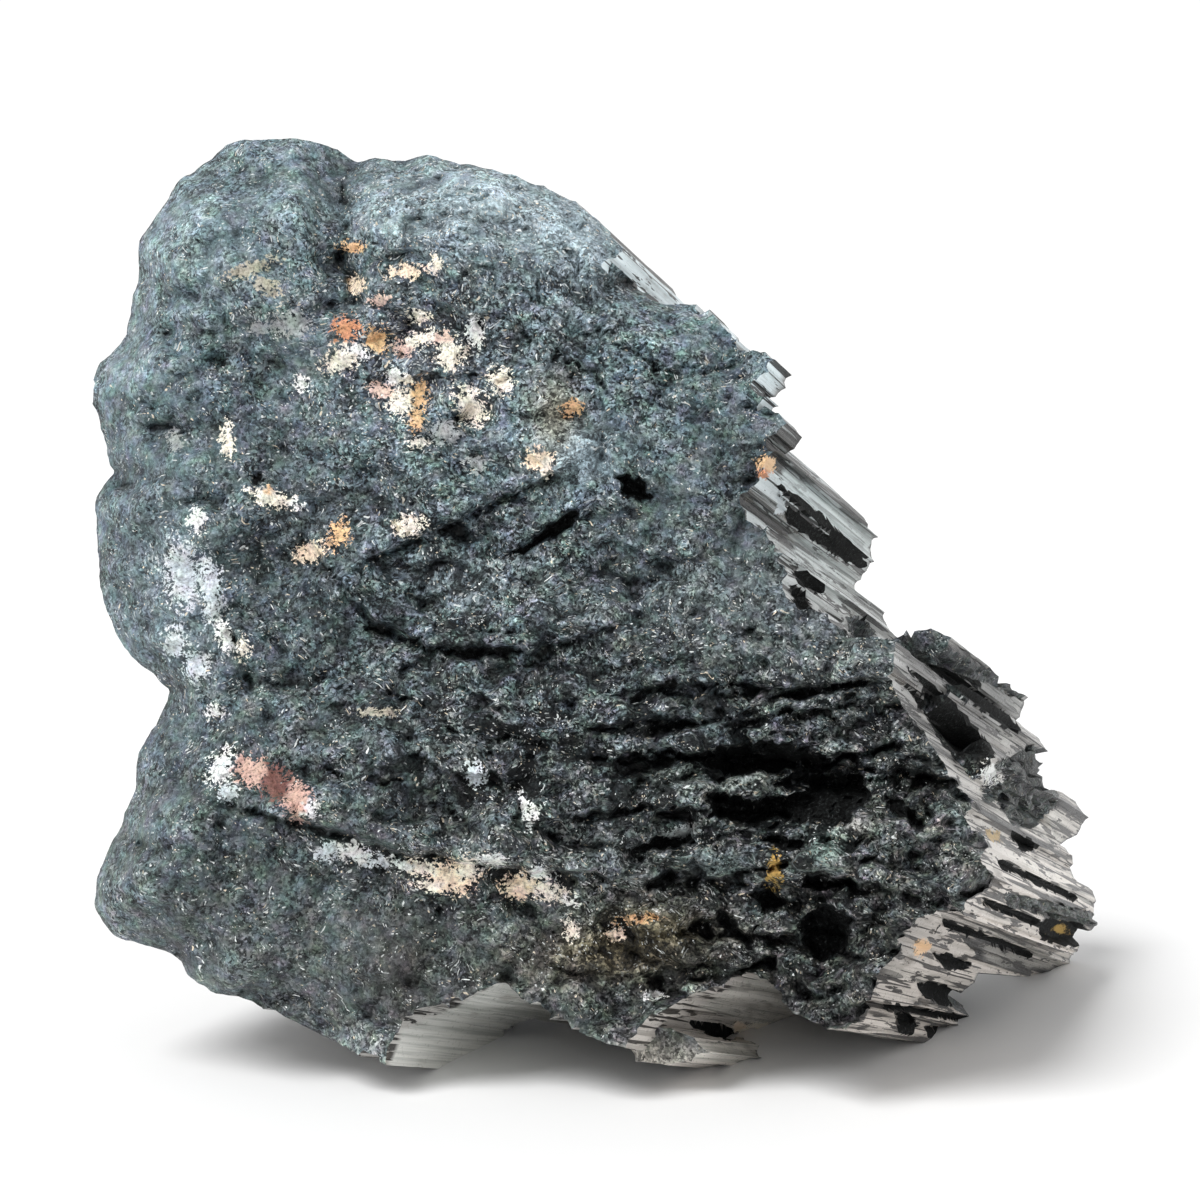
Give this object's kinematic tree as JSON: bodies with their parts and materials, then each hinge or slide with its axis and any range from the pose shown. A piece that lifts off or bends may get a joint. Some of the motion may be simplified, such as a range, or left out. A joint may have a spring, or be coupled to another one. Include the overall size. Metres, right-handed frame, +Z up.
{
  "type": "raw black tourmaline",
  "caption": "Rough lump of black tourmaline: a bundle of striated crystals with a coarse broken front, specked with pale feldspar, resting on its flattened underside.",
  "frame": {"origin": "on the ground, under the middle of the stone's bounding box", "axes": "+X to the right along the broken front, +Y away from the viewer into the stone, +Z up"},
  "size_m": [0.1134, 0.073, 0.0973],
  "materials": {
    "tourmaline": "semi_gloss"
  },
  "bodies": {
    "root": {"black_tourmaline": "tourmaline"}
  },
  "joints": []
}
